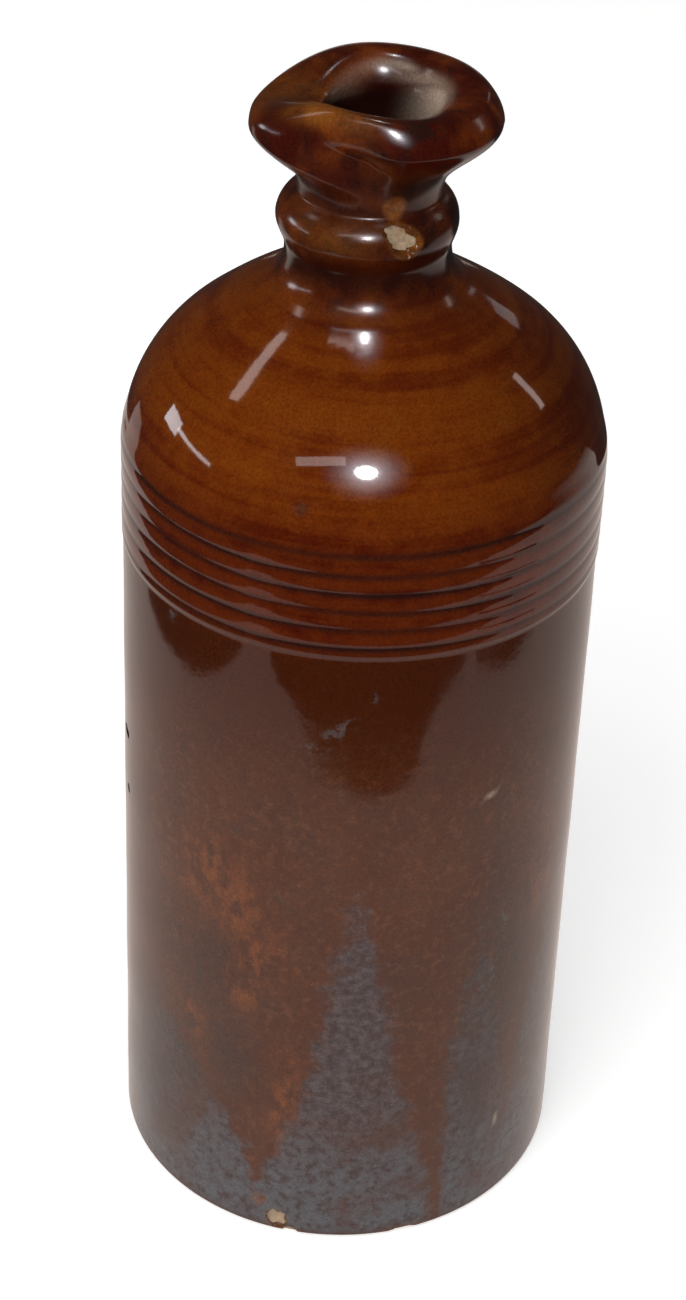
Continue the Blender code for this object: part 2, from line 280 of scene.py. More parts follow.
def body_radius_at(height):
    """Radius of the plain wall or of the shoulder curve at a height."""
    wall = BODY_RADIUS - BODY_TAPER * height / WALL_HEIGHT
    rise = np.clip(height - WALL_HEIGHT, 0.0, SHOULDER_CURVE)
    return np.where(height <= WALL_HEIGHT, wall, ARC_CENTRE + np.sqrt(SHOULDER_CURVE ** 2 - rise ** 2))


def lip_reach(height, edge_radius, edge_height, hollow, sharp=0.0):
    """Radius of the lip's outside at a height, for an edge at a radius and height."""
    share = np.clip((height - WAIST_HEIGHT) / (edge_height - WAIST_HEIGHT), 0.0, 1.0)
    curve = ease(share) ** hollow * (1.0 - sharp) + share ** EDGE_POWER * sharp
    under = WAIST_RADIUS + (edge_radius - WAIST_RADIUS) * curve
    climb = np.clip((height - edge_height) / (CREST_HEIGHT - edge_height), 0.0, 1.0)
    over = CREST_RADIUS + (edge_radius - CREST_RADIUS) * np.sqrt(1.0 - climb ** 2)
    return np.where(height < edge_height, under, over)


def lip_outline():
    """Points from the waist round the lip, over the crest and into the throat."""
    under = np.linspace(WAIST_HEIGHT, LIP_HEIGHT, LIP_ROWS)[1:]
    crown = LIP_HEIGHT + LIP_CROWN * np.sin(np.linspace(0.0, math.pi / 2.0, LIP_ROWS))[1:]
    heights = np.concatenate([under, crown])
    outside = np.stack([lip_reach(heights, LIP_RADIUS, LIP_HEIGHT, LIP_HOLLOW), heights], axis=1)
    radii = (MOUTH_FLARE, MOUTH_DEPTH)
    mouth = arc((CREST_RADIUS, BORE_TOP), radii, math.pi / 2.0, math.pi, MOUTH_ROWS)[1:]
    throat = np.linspace(mouth[-1], (BORE_RADIUS, GLAZE_END), THROAT_ROWS)[1:]
    return np.concatenate([outside, mouth, throat])


def skin_outline():
    """Points (radius, height) of the glazed surface, from the foot into the throat."""
    round_centre = (BODY_RADIUS - FOOT_ROUND, FOOT_BARE + FOOT_ROUND)
    foot = arc(round_centre, (FOOT_ROUND,) * 2, -math.pi / 2.0, 0.0, FOOT_ROWS)
    wall_heights = np.arange(foot[-1][1] + WALL_STEP, BAND_LOW - WALL_STEP, WALL_STEP)
    band_heights = np.arange(BAND_LOW - WALL_STEP, BAND_TOP, BAND_STEP)
    heights = np.concatenate([wall_heights, band_heights])
    body = np.stack([body_radius_at(heights), heights], axis=1)
    arc_start = math.asin((heights[-1] - WALL_HEIGHT) / SHOULDER_CURVE)
    arc_count = int(SHOULDER_CURVE * (SLOPE_START - arc_start) / CURVE_STEP)
    curve = arc((ARC_CENTRE, WALL_HEIGHT), (SHOULDER_CURVE,) * 2, arc_start, SLOPE_START, arc_count)[1:]
    tangent = NECK_FILLET * math.tan(SHOULDER_TURN / 2.0)
    fillet_start = np.array((NECK_RADIUS + tangent * math.sin(SHOULDER_TURN),
                             NECK_FOOT - tangent * math.cos(SHOULDER_TURN)))
    fillet_end = (NECK_RADIUS, NECK_FOOT + tangent)
    slope_length = np.linalg.norm(fillet_start - curve[-1])
    slope_way = np.array((-math.sin(SLOPE_START), math.cos(SLOPE_START)))
    slope_corner = curve[-1] + slope_length / 2.0 * slope_way
    slope = bend(curve[-1], slope_corner, fillet_start, int(slope_length / CURVE_STEP))[1:-1]
    slope_fall = (fillet_start - slope_corner) / (fillet_start[0] - slope_corner[0])
    fillet_corner = fillet_start + slope_fall * (NECK_RADIUS - fillet_start[0])
    fillet = bend(fillet_start, fillet_corner, fillet_end, FILLET_ROWS)
    widest = (COLLAR_RADIUS, COLLAR_HEIGHT - COLLAR_DROP)
    collar = swell(fillet_end, widest, COLLAR_ROWS)
    bulge_centre = (widest[0] - COLLAR_ROUND, widest[1])
    bulge = arc(bulge_centre, (COLLAR_ROUND,) * 2, 0.0, COLLAR_TURN, COLLAR_ROWS)[1:]
    corner_height = bulge[-1][1] + (bulge[-1][0] - WAIST_RADIUS) / math.tan(COLLAR_TURN)
    waist_end = (WAIST_RADIUS, WAIST_HEIGHT)
    waist = bend(bulge[-1], (WAIST_RADIUS, corner_height), waist_end, WAIST_ROWS)[1:]
    return np.concatenate([foot, body, curve, slope, fillet, collar, bulge, waist, lip_outline()])


def ring_wander(angle, height):
    """How far the combed lines lie from level."""
    return RING_WANDER * np.sin(angle * 2.0 + height / RING_PITCH)


def ring_relief(angle, height):
    """How far the combed band stands out from the plain body."""
    place = (height + ring_wander(angle, height) - RING_LOW) / RING_PITCH
    nearest = np.clip(np.round(place), 0, RING_COUNT - 1)
    away = (place - nearest) * RING_PITCH
    depth = RING_DEPTH * (1.0 + 0.25 * np.sin(angle * 3.0 + nearest * 2.0))
    line = depth * bell(away, 0.0, RING_WIDTH)
    inside = ease((height - BAND_LOW) / BAND_EDGE + 0.5) * ease((BAND_TOP - height) / RING_PITCH + 0.5)
    ridge = BAND_PROUD + RING_SWELL * np.clip(np.abs(away) / RING_PITCH * 2.0, 0.0, 1.0)
    return inside * (ridge - line)


def pressed_lip(angle, height):
    """Radius of the lip's outside with the spout and the thumb press."""
    edge_height = LIP_HEIGHT - SPOUT_DROP * bell(angle, *SPOUT_PLACE)
    hollow = LIP_HOLLOW - FOLD_FULL * bell(angle, *FOLD_FULL_PLACE)
    full_radius = LIP_RADIUS - LIP_TRIM * bell(angle, *LIP_TRIM_PLACE)
    sharp = EDGE_SHARP * bell(angle, *EDGE_SHARP_PLACE)
    full = lip_reach(height, full_radius, edge_height, hollow, sharp)
    share = (angle - PRESS_FROM) / (PRESS_TO - PRESS_FROM)
    share = np.clip((share + np.sqrt(share ** 2 + PRESS_BLEND)) / 2.0, 0.0, 1.0)
    dent_radius = LIP_RADIUS - PRESS_IN * LIP_OVERHANG * share
    dent_height = edge_height - PRESS_DOWN * LIP_RISE * share
    dent = lip_reach(height, dent_radius, dent_height, LIP_HOLLOW)
    climb = ease((height - WAIST_HEIGHT - FOLD_START) / FOLD_REACH)
    fold = FOLD_LOW + (FOLD_HIGH - FOLD_LOW) * climb
    softness = FOLD_SOFT_LOW + (FOLD_SOFT_HIGH - FOLD_SOFT_LOW) * climb
    return dent + (full - dent) * ease((angle - fold) / softness + 0.5)


def shaped_skin(outline, steps):
    """Turn an outline round the axis, with the rings, the spout and the unevenness."""
    angle = np.linspace(0.0, math.tau, steps, endpoint=False)[None, :]
    radius = outline[:, 0][:, None] + 0.0 * angle
    height = outline[:, 1][:, None] + 0.0 * angle
    radius = radius + np.where(height < NECK_FOOT, ring_relief(angle, height), 0.0)
    on_body = ease((NECK_FOOT - height) / NECK_FILLET)
    off_foot = ease(height / BASE_CORNER)
    radius = radius + on_body * OVAL * np.sin(2.0 * angle + OVAL_TURN + height / WALL_HEIGHT)
    throws = height / THROW_PITCH
    wave = np.sin(throws * math.tau + angle) + np.sin(throws * THROW_SECOND - 2.0 * angle)
    radius = radius + on_body * off_foot * THROW_DEPTH * wave
    outer = np.arange(len(outline))[:, None] <= np.argmax(outline[:, 1])
    lip_rows = outer & (height > WAIST_HEIGHT)
    crown = ease((LIP_RADIUS - radius) / (LIP_RADIUS - CREST_RADIUS)) * (height > LIP_HEIGHT)
    shifted = np.where(outer, crown, (radius - BORE_RADIUS) / MOUTH_FLARE)
    widened = np.where(outer, crown, ease((height - GLAZE_END) / (CREST_HEIGHT - GLAZE_END)))
    radius = np.where(lip_rows, pressed_lip(angle, height), radius)
    radius = radius + MOUTH_WIDEN * widened * (1.0 + np.cos(angle - MOUTH_ANGLE)) / 2.0
    rise = np.clip((height - LIP_HEIGHT) / LIP_CROWN, 0.0, 1.0)
    sunk = SPOUT_DEPTH * bell(angle, *SPOUT_PLACE)
    sunk = sunk + CREST_DIP * bell(turn_between(angle, CREST_DIP_ANGLE), 0.0, CREST_DIP_SPREAD)
    sunk = sunk - CREST_LIFT * bell(angle, *CREST_LIFT_PLACE)
    lean = np.interp(height, LEAN_HEIGHTS, LEAN_SHIFTS) * outer
    x = radius * np.cos(angle) + lean + MOUTH_SHIFT * shifted * math.cos(MOUTH_ANGLE)
    y = radius * np.sin(angle) + MOUTH_SHIFT * shifted * math.sin(MOUTH_ANGLE)
    return np.stack([x, y, height - rise * sunk], axis=2)


def grid_normals(points):
    """Outward normals of a turned grid of points."""
    along = np.gradient(points, axis=0)
    around = np.roll(points, -1, axis=1) - np.roll(points, 1, axis=1)
    normals = np.cross(around, along)
    return normals / np.linalg.norm(normals, axis=2, keepdims=True)


def grid_mesh(name, points, wrapped=False, poles=()):
    """A mesh from a grid round the axis. Poles close its first and last row."""
    rows, steps = points.shape[:2]
    index = np.arange(rows * steps).reshape(rows, steps)
    low = index if wrapped else index[:-1]
    high = np.roll(index, -1, axis=0) if wrapped else index[1:]
    quads = np.stack([low, np.roll(low, -1, axis=1), np.roll(high, -1, axis=1), high], axis=2)
    faces = quads.reshape(-1, 4).tolist()
    verts = points.reshape(-1, 3).tolist()
    for row, pole in zip((index[0][::-1], index[-1]), poles):
        tip = len(verts)
        verts.append(pole)
        faces += [(first, second, tip) for first, second in zip(row.tolist(), np.roll(row, -1).tolist())]
    mesh = bpy.data.meshes.new(name)
    mesh.from_pydata(verts, [], faces)
    mesh.validate()
    return mesh


def turned(points, steps):
    """A plain grid from points (radius, height)."""
    angle = np.linspace(0.0, math.tau, steps, endpoint=False)[None, :]
    points = np.asarray(points)
    radius = points[:, 0][:, None]
    height = points[:, 1][:, None] + 0.0 * angle
    return np.stack([radius * np.cos(angle), radius * np.sin(angle), height], axis=2)


def add_piece(name, mesh, material):
    """Put a mesh in the scene as a smooth-shaded piece."""
    mesh.materials.clear()
    mesh.materials.append(material)
    mesh.shade_smooth()
    mesh.set_sharp_from_angle(angle=45.0 * DEGREE)
    piece = bpy.data.objects.new(name, mesh)
    bpy.context.scene.collection.objects.link(piece)
    return piece


# Chips and pits

# (angle, height in mm, half width, half height and depth in mm, turn in degrees)
CHIPS = (
    (290.4, 222.0, 2.7, 2.1, 1.5, -20.0),
    (295.0, 220.4, 3.3, 2.9, 1.5, -32.0),
    (255.9, 3.4, 2.4, 2.6, 1.6, 20.0),
    (258.6, 0.8, 1.8, 1.0, 1.3, 0.0),
    (289.0, 0.9, 3.6, 0.7, 1.0, 0.0),
)
# Small pale marks where the glaze is only grazed, in the same terms
GRAZES = (
    (306.1, 115.3, 0.9, 0.22, 0.0, 25.0),
    (317.3, 22.2, 0.2, 0.7, 0.0, 10.0),
)
# Pits in the glaze, in the same terms
PITS = (
    (193.6, 107.0, 2.4, 1.1, 0.8, 0.0),
    (195.8, 93.0, 1.2, 0.9, 0.4, 0.0),
)
# Places where the glaze is worn thin, in the same terms
WORN_SPOTS = (
    (289.3, 226.2, 1.6, 1.9, 0.0, 0.0),
    (303.0, 219.8, 1.0, 1.0, 0.0, 0.0),
    (250.6, 8.7, 0.8, 1.0, 0.0, 0.0),
)
CHIP_ROUGHNESS = 0.28  # share of a chip's size that its edge wanders
CHIP_GRAIN = 1.7


def skin_place(skin, normals, angle, height):
    """Point and normal on the outside of the skin at an angle and height."""
    column = int(round(angle * DEGREE / math.tau * TURN_STEPS)) % TURN_STEPS
    outside = int(np.argmax(skin[:, column, 2]))
    row = int(np.argmin(np.abs(skin[:outside, column, 2] - height)))
    return Vector(skin[row, column]), Vector(normals[row, column])


def chip_frame(skin, normals, angle, height, turn):
    """Centre of a chip, and its axes along its width, its height and out of the skin."""
    centre, normal = skin_place(skin, normals, angle, height * MM)
    across = Vector((-math.sin(angle * DEGREE), math.cos(angle * DEGREE), 0.0))
    upward = normal.cross(across)
    spin = Matrix.Rotation(turn * DEGREE, 3, normal)
    return centre, Matrix((spin @ across, spin @ upward, normal)).transposed()


def chip_cutters(skin, normals, places):
    """Rough lens shapes, each sunk into the skin at its place."""
    cutters = []
    for index, (angle, height, half_width, half_height, depth, turn) in enumerate(places):
        centre, axes = chip_frame(skin, normals, angle, height, turn)
        builder = bmesh.new()
        made = bmesh.ops.create_icosphere(builder, subdivisions=4, radius=1.0)
        for vertex in made["verts"]:
            where = vertex.co.copy()
            rough = noise.fractal(where * CHIP_GRAIN + Vector((7.0 * index, 3.0, 1.0)), 1.0, 2.0, 4)
            stretched = where * (1.0 + CHIP_ROUGHNESS * rough)
            sized = Vector((stretched.x * half_width, stretched.y * half_height, stretched.z * depth))
            vertex.co = centre + axes @ (sized * MM)
        mesh = bpy.data.meshes.new("chip_cutter")
        builder.to_mesh(mesh)
        builder.free()
        cutters.append(mesh)
    return cutters


def cut(mesh, cutters):
    """The mesh with the cutters taken out of it, one after the other."""
    body = bpy.data.objects.new("cut_body", mesh)
    tools = [bpy.data.objects.new("cut_tool", cutter) for cutter in cutters]
    for item in [body] + tools:
        bpy.context.scene.collection.objects.link(item)
    for tool in tools:
        boolean = body.modifiers.new("Chips", "BOOLEAN")
        boolean.operation = "DIFFERENCE"
        boolean.solver = "MANIFOLD"
        boolean.object = tool
    depsgraph = bpy.context.evaluated_depsgraph_get()
    result = bpy.data.meshes.new_from_object(body.evaluated_get(depsgraph))
    for item in [body] + tools:
        bpy.data.objects.remove(item)
    bpy.data.meshes.remove(mesh)
    return result


# Materials

WHITE = (1.0, 1.0, 1.0)
MIX_FIRST, MIX_SECOND, MIX_RESULT = 6, 7, 2  # the colour sockets of a mix node


def connect(made, sockets):
    """Give a node's sockets outputs, plain values, or colours without their alpha."""
    for key, value in sockets.items():
        socket = made.inputs[key]
        if isinstance(value, bpy.types.NodeSocket):
            made.id_data.links.new(value, socket)
        else:
            socket.default_value = (*value, 1.0) if socket.type == "RGBA" else value


def node(tree, kind, sockets=None, **settings):
    """Add a shader node with its settings and sockets."""
    made = tree.nodes.new("ShaderNode" + kind)
    for key, value in settings.items():
        setattr(made, key, value)
    connect(made, sockets or {})
    return made


def start_material(name):
    """A new material, its node tree and its shader."""
    material = bpy.data.materials.new(name)
    material.use_nodes = True
    tree = material.node_tree
    return material, tree, tree.nodes["Principled BSDF"]


def object_place(tree):
    """Coordinates in the piece's own frame."""
    return node(tree, "TexCoord").outputs["Object"]


def field(place, scale, stretch=(1.0, 1.0, 1.0), detail=3.0, roughness=0.55, twist=0.0):
    """Noise from 0 to 1. Scale is in features per metre, and a small stretch draws an axis out."""
    tree = place.id_data
    mapped = node(tree, "Mapping", {"Vector": place, "Scale": stretch}).outputs["Vector"]
    grain = {"Scale": scale, "Detail": detail, "Roughness": roughness, "Distortion": twist}
    return node(tree, "TexNoise", {"Vector": mapped, **grain}).outputs["Fac"]


def spread(value, low, high, out_low=0.0, out_high=1.0):
    """Map a value from one range to another, smoothly and clamped."""
    sockets = {"Value": value, "From Min": low, "From Max": high, "To Min": out_low, "To Max": out_high}
    return node(value.id_data, "MapRange", sockets, interpolation_type="SMOOTHSTEP").outputs["Result"]


def sums(operation, first, second):
    """Arithmetic on two values."""
    return node(first.id_data, "Math", {0: first, 1: second}, operation=operation).outputs["Value"]


def weighted(first, first_weight, second, second_weight):
    """The sum of two values, each times its weight."""
    first_part = sums("MULTIPLY", first, first_weight)
    return sums("ADD", first_part, sums("MULTIPLY", second, second_weight))


def mixed(share, first, second):
    """A colour between two colours."""
    sockets = {"Factor": share, MIX_FIRST: first, MIX_SECOND: second}
    return node(share.id_data, "Mix", sockets, data_type="RGBA").outputs[MIX_RESULT]


def tinted(colour, tint, value, low, high, weight=1.0):
    """A colour that takes on a tint as a value goes from low to high."""
    return mixed(spread(value, low, high, 0.0, weight), colour, tint)


def painted(tree, name):
    """A mask stored on the mesh's points."""
    return node(tree, "Attribute", attribute_name=name).outputs["Fac"]


def dabbed(colour, tint, mask, value, low, high, weight_low=0.0, weight_high=1.0):
    """A colour that takes on a tint inside a painted mask, broken up by a value."""
    broken = spread(value, low, high, weight_low, weight_high)
    return mixed(sums("MULTIPLY", painted(value.id_data, mask), broken), colour, tint)


def bumped(height, strength, distance):
    """A normal that follows small bumps."""
    sockets = {"Height": height, "Strength": strength, "Distance": distance}
    return node(height.id_data, "Bump", sockets).outputs["Normal"]


AMBER_GOLD = (0.150, 0.034, 0.0026)
AMBER = (0.128, 0.023, 0.0019)
AMBER_DEEP = (0.085, 0.0112, 0.0014)
BAND_ORANGE = (0.090, 0.0130, 0.0016)
BAND_RED = (0.056, 0.0050, 0.0010)
RING_DARK = (0.016, 0.0050, 0.0036)
WALL_HIGH = (0.046, 0.0086, 0.0017)
WALL_BROWN = (0.091, 0.0270, 0.0100)
WALL_DEEP = (0.073, 0.0195, 0.0075)
WALL_DULL = (0.050, 0.0230, 0.0150)
WALL_PALE = (0.132, 0.0460, 0.0190)
LIP_RED = (0.039, 0.0034, 0.0010)
LIP_BROWN = (0.118, 0.0225, 0.0024)
LIP_DARK = (0.014, 0.0050, 0.0042)
# Painted shade, with some dark pooled glaze: under the lip, in the throat, round the neck's foot, in the
# pits and on the right of the collar and shoulder
SHADE_AND_POOL_DARK = (0.008, 0.0017, 0.0012)
THIN_ORANGE = (0.205, 0.066, 0.009)
# Pale colour of the painted reflection in the mouth, and of the grazed marks
GRAZE_AND_SHEEN_PALE = (0.45, 0.345, 0.265)
FLECK_ORANGE = (0.168, 0.048, 0.013)
SHADE_BROWN = (0.042, 0.0245, 0.0195)
SCUFF_GREY = (0.090, 0.074, 0.071)
GREY_DARK = (0.042, 0.0235, 0.0225)
GREY_LIGHT = (0.090, 0.0720, 0.0750)
FOOT_GREY = (0.086, 0.0920, 0.1040)
FOOT_RUST = (0.060, 0.020, 0.0110)

# Heights between which one colour of the glaze gives way to the next
WALL_FADE = (106.0 * MM, 146.0 * MM)
BAND_FADE = (BAND_LOW - 2.0 * MM, BAND_LOW + 3.0 * MM)
SHOULDER_FADE = (RING_TOP - 3.0 * MM, RING_TOP + 13.0 * MM)
LIP_FADE = (201.0 * MM, 212.0 * MM)
FOOT_FADE = (44.0 * MM, 6.0 * MM)
FOOT_LINE = (2.6 * MM, 0.9 * MM)
# Heights between which it gets rougher, and how much
WALL_ROUGHER = (176.0 * MM, 140.0 * MM, 0.0, 0.01)
LIP_ROUGHER = (202.5 * MM, 207.0 * MM, 0.0, 0.11)
WAIST_ROUGHER = (WAIST_HEIGHT - 4.0 * MM, WAIST_HEIGHT, 0.0, 0.10)
WAIST_END = (WAIST_HEIGHT + 9.0 * MM, WAIST_HEIGHT + 4.0 * MM)
GREY_ROUGHER = 0.10


def glaze_material():
    """Iron-brown glaze: amber on the shoulder, brown on the wall, mottled grey towards the foot."""
    material, tree, shader = start_material("brown_glaze")
    place = object_place(tree)
    height = node(tree, "SeparateXYZ", {"Vector": place}).outputs["Z"]
    streaks = field(place, 420.0, (0.03, 0.03, 1.0))
    runs = field(place, 160.0, (1.0, 1.0, 0.07))
    clouds = field(place, 45.0, detail=4.0, twist=0.6)
    grain = field(place, 520.0, detail=4.0, roughness=0.62)
    blotch = field(place, 230.0, detail=4.0, roughness=0.6)
    speck = field(place, 1900.0, detail=2.0, roughness=0.7)

    streaky = weighted(streaks, 0.75, clouds, 0.45)
    gold = weighted(blotch, 0.45, streaky, 0.55)
    shoulder = tinted(AMBER_DEEP, AMBER, streaky, 0.44, 0.68)
    shoulder = tinted(shoulder, AMBER_GOLD, gold, 0.44, 0.74)
    runny = weighted(runs, 0.4, clouds, 0.6)
    runny = weighted(runny, 0.75, blotch, 0.25)
    wall = tinted(WALL_DEEP, WALL_BROWN, runny, 0.40, 0.62)
    dull = field(place, 75.0, (1.0, 1.0, 0.6), 6.0, 0.7)
    wall = tinted(wall, WALL_DULL, dull, 0.44, 0.68, 0.55)
    wall = tinted(wall, WALL_DULL, blotch, 0.50, 0.72, 0.45)
    wall = tinted(wall, WALL_PALE, grain, 0.48, 0.72, 0.60)
    colour = tinted(wall, WALL_HIGH, height, *WALL_FADE)
    band = tinted(BAND_RED, BAND_ORANGE, gold, 0.42, 0.62)
    colour = tinted(colour, band, height, *BAND_FADE)
    colour = tinted(colour, shoulder, height, *SHOULDER_FADE)
    lip_patch = field(place, 95.0, roughness=0.5, twist=0.3)
    lip_cloud = field(place, 150.0, roughness=0.5, twist=0.3)
    lip = tinted(LIP_RED, LIP_BROWN, lip_patch, 0.38, 0.62)
    lip = tinted(lip, LIP_DARK, lip_cloud, 0.52, 0.70, 0.8)
    colour = tinted(colour, lip, height, *LIP_FADE)

    colour = mixed(painted(tree, "red"), colour, LIP_RED)
    fleck_noise = field(place, 330.0, (1.0, 1.0, 0.55), 5.0, 0.65)
    colour = dabbed(colour, FLECK_ORANGE, "fleck", fleck_noise, 0.40, 0.60)
    uneven = sums("MULTIPLY", sums("SUBTRACT", blotch, 0.5), 1.4)
    ragged = sums("ADD", painted(tree, "grey"), uneven)
    grey_share = spread(ragged, 0.22, 0.82, 0.0, 0.92)
    mottle = tinted(GREY_DARK, GREY_LIGHT, grain, 0.28, 0.72)
    foot_share = sums("MULTIPLY", spread(height, *FOOT_FADE), spread(grain, 0.28, 0.66))
    mottle = mixed(foot_share, mottle, FOOT_GREY)
    mottle = tinted(mottle, WALL_DEEP, clouds, 0.50, 0.68, 0.6)
    colour = mixed(grey_share, colour, mottle)
    colour = dabbed(colour, SHADE_BROWN, "shade", blotch, 0.3, 0.6, 0.35, 0.9)
    colour = tinted(colour, FOOT_RUST, height, *FOOT_LINE, 0.85)
    scuff_noise = field(place, 620.0, detail=4.0, roughness=0.65)
    colour = dabbed(colour, SCUFF_GREY, "scuff", scuff_noise, 0.44, 0.58)
    colour = mixed(painted(tree, "ring"), colour, RING_DARK)
    # Painted shade under the lip, in the throat and down the right side, with some pooled glaze
    colour = mixed(painted(tree, "shade_and_pool"), colour, SHADE_AND_POOL_DARK)
    colour = dabbed(colour, THIN_ORANGE, "thin", blotch, 0.25, 0.55, 0.35, 1.0)
    # Painted reflection in the mouth as a pale sheen, and the pale grazed marks
    colour = mixed(painted(tree, "sheen_and_grazes"), colour, GRAZE_AND_SHEEN_PALE)
    fine = spread(speck, 0.28, 0.72, 0.78, 1.22)
    speckled = node(tree, "VectorMath", {"Vector": colour, "Scale": fine}, operation="SCALE")

    in_waist = sums("MULTIPLY", spread(height, *WAIST_ROUGHER), spread(height, *WAIST_END))
    on_grey = sums("MULTIPLY", grey_share, GREY_ROUGHER)
    on_wall = spread(height, *WALL_ROUGHER)
    on_lip = spread(height, *LIP_ROUGHER)
    rough = spread(clouds, 0.35, 0.7, 0.05, 0.08)
    for extra in (on_grey, on_wall, on_lip, in_waist):
        rough = sums("ADD", rough, extra)
    connect(shader, {
        "Base Color": speckled.outputs["Vector"],
        "Roughness": rough,
        "Specular IOR Level": 0.45,
        "Normal": bumped(field(place, 130.0), 0.09, 0.4 * MM),
    })
    return material


CLAY_BUFF = (0.27, 0.185, 0.105)
CLAY_PALE = (0.37, 0.27, 0.175)
CLAY_FOOT = (0.46, 0.335, 0.225)
CLAY_RUST = (0.20, 0.095, 0.030)
CLAY_INSIDE = (0.050, 0.026, 0.016)
CLAY_FADE = (12.0 * MM, 6.0 * MM)  # heights between which the clay gets paler


def clay_material():
    """Bare fired clay at the chips and under the foot, and darker clay inside the bottle."""
    material, tree, shader = start_material("fired_clay")
    place = object_place(tree)
    height = node(tree, "SeparateXYZ", {"Vector": place}).outputs["Z"]
    grit = field(place, 1400.0, detail=4.0, roughness=0.7)
    cloud = field(place, 260.0)
    colour = tinted(CLAY_BUFF, CLAY_PALE, grit, 0.35, 0.65)
    colour = tinted(colour, CLAY_FOOT, height, *CLAY_FADE, 0.9)
    colour = tinted(colour, CLAY_RUST, cloud, 0.52, 0.74)
    connect(shader, {
        "Base Color": mixed(painted(tree, "inside"), colour, CLAY_INSIDE),
        "Roughness": spread(grit, 0.3, 0.7, 0.75, 0.92),
        "Normal": bumped(grit, 0.5, 0.25 * MM),
    })
    return material


CORK_LIGHT = (0.48, 0.31, 0.16)
CORK_DARK = (0.27, 0.15, 0.07)
CORK_PORE = (0.07, 0.032, 0.015)


def cork_material():
    """Natural cork with grain and dark pores."""
    material, tree, shader = start_material("natural_cork")
    place = object_place(tree)
    grain = field(place, 520.0, (1.0, 0.45, 1.0), 5.0, 0.65)
    cells = field(place, 1900.0, roughness=0.7)
    colour = tinted(CORK_LIGHT, CORK_DARK, grain, 0.35, 0.68)
    colour = tinted(colour, CORK_DARK, cells, 0.6, 0.78, 0.5)
    connect(shader, {
        "Base Color": mixed(painted(tree, "pore"), colour, CORK_PORE),
        "Roughness": spread(cells, 0.3, 0.7, 0.8, 0.95),
        "Normal": bumped(cells, 0.4, 0.2 * MM),
    })
    return material


# Masks painted on the points

ALL_ROUND = 1000.0  # half width of a mark that goes all round the bottle
# Soft marks: (weight, angle in degrees, half width in radians, height, half height)
# Painted shade, with some pooled glaze: round the neck's foot, under the lip, on the right of the collar,
# and on the right of the shoulder where it turns from the light
SHADE_AND_POOL_MARKS = (
    (0.75, 0, ALL_ROUND, NECK_FOOT + 5.0 * MM, 3.8 * MM),
    (0.45, 0, ALL_ROUND, WAIST_HEIGHT + 1.5 * MM, 3.2 * MM),
    (0.95, 300, 0.6, WAIST_HEIGHT + 5.5 * MM, 5.0 * MM),
    (0.75, 312, 0.66, COLLAR_HEIGHT, 5.0 * MM),
    (0.5, 345, 0.6, 188.0 * MM, 16.0 * MM),
)
RED_MARKS = (
    (0.9, 246, 0.5, WAIST_HEIGHT + 7.0 * MM, 5.5 * MM),
    (0.7, 0, ALL_ROUND, NECK_FOOT + 7.5 * MM, 3.0 * MM),
)
THIN_MARKS = (
    (0.95, 226, 0.62, CREST_HEIGHT - 1.2 * MM, 2.0 * MM),
    (0.4, 168, 0.45, CREST_HEIGHT - 4.5 * MM, 2.5 * MM),
    (0.4, 250, 0.6, COLLAR_HEIGHT + 1.5 * MM, 3.2 * MM),
)


def mesh_places(mesh):
    """Angle, height and radius of every point of a mesh, and the points."""
    flat = np.empty(len(mesh.vertices) * 3)
    mesh.vertices.foreach_get("co", flat)
    points = flat.reshape(-1, 3)
    angle = np.arctan2(points[:, 1], points[:, 0]) % math.tau
    return angle, points[:, 2], np.hypot(points[:, 0], points[:, 1]), points


def store_mask(mesh, name, values):
    """Keep a mask on the mesh's points."""
    mask = mesh.attributes.new(name, "FLOAT", "POINT")
    mask.data.foreach_set("value", np.clip(values, 0.0, 1.0).astype(np.float32))


def grey_mask(angle, height):
    """1 deep inside the grey tongues, less towards their tips, and 0 well outside them."""
    mask = np.zeros(angle.shape)
    for rows in TONGUES:
        rows = np.array(rows[::-1], dtype=float)
        left = np.interp(height, rows[:, 0] * MM, rows[:, 1] * DEGREE)
        right = np.interp(height, rows[:, 0] * MM, rows[:, 2] * DEGREE)
        offset = np.abs(turn_between(angle, (left + right) / 2.0))
        depth = ((right - left) / 2.0 - offset) * BODY_RADIUS
        below_tip = rows[-1, 0] * MM - height
        inside = ease(np.minimum(depth, below_tip * TONGUE_POINT) / TONGUE_SOFTNESS / 2.0 + 0.5)
        strength = TONGUE_TIP + (1.0 - TONGUE_TIP) * ease(below_tip / TONGUE_FADE)
        mask = np.maximum(mask, inside * strength)
    return mask


def ring_mask(angle, height):
    """Largest in the combed lines, where the glaze is dark."""
    mask = np.zeros(angle.shape)
    for index in range(RING_COUNT):
        depth = 0.75 + 0.15 * np.sin(angle * 3.0 + index * 2.0)
        line = bell(height + ring_wander(angle, height), RING_LOW + index * RING_PITCH, RING_WIDTH)
        mask = np.maximum(mask, depth * line)
    return mask


def mark_mask(angle, height, marks):
    """The strongest of some soft marks at each point."""
    mask = np.zeros(angle.shape)
    for weight, middle, half_width, level, half_height in marks:
        sideways = bell(turn_between(angle, middle * DEGREE), 0.0, half_width)
        mask = np.maximum(mask, weight * sideways * bell(height, level, half_height))
    return mask


def patch_mask(angle, height, patches, weight):
    """Soft marks at the places of some patches."""
    marks = [
        (weight, middle, half_width * DEGREE, level * MM, half_height * MM)
        for middle, level, half_width, half_height in patches
    ]
    return mark_mask(angle, height, marks)


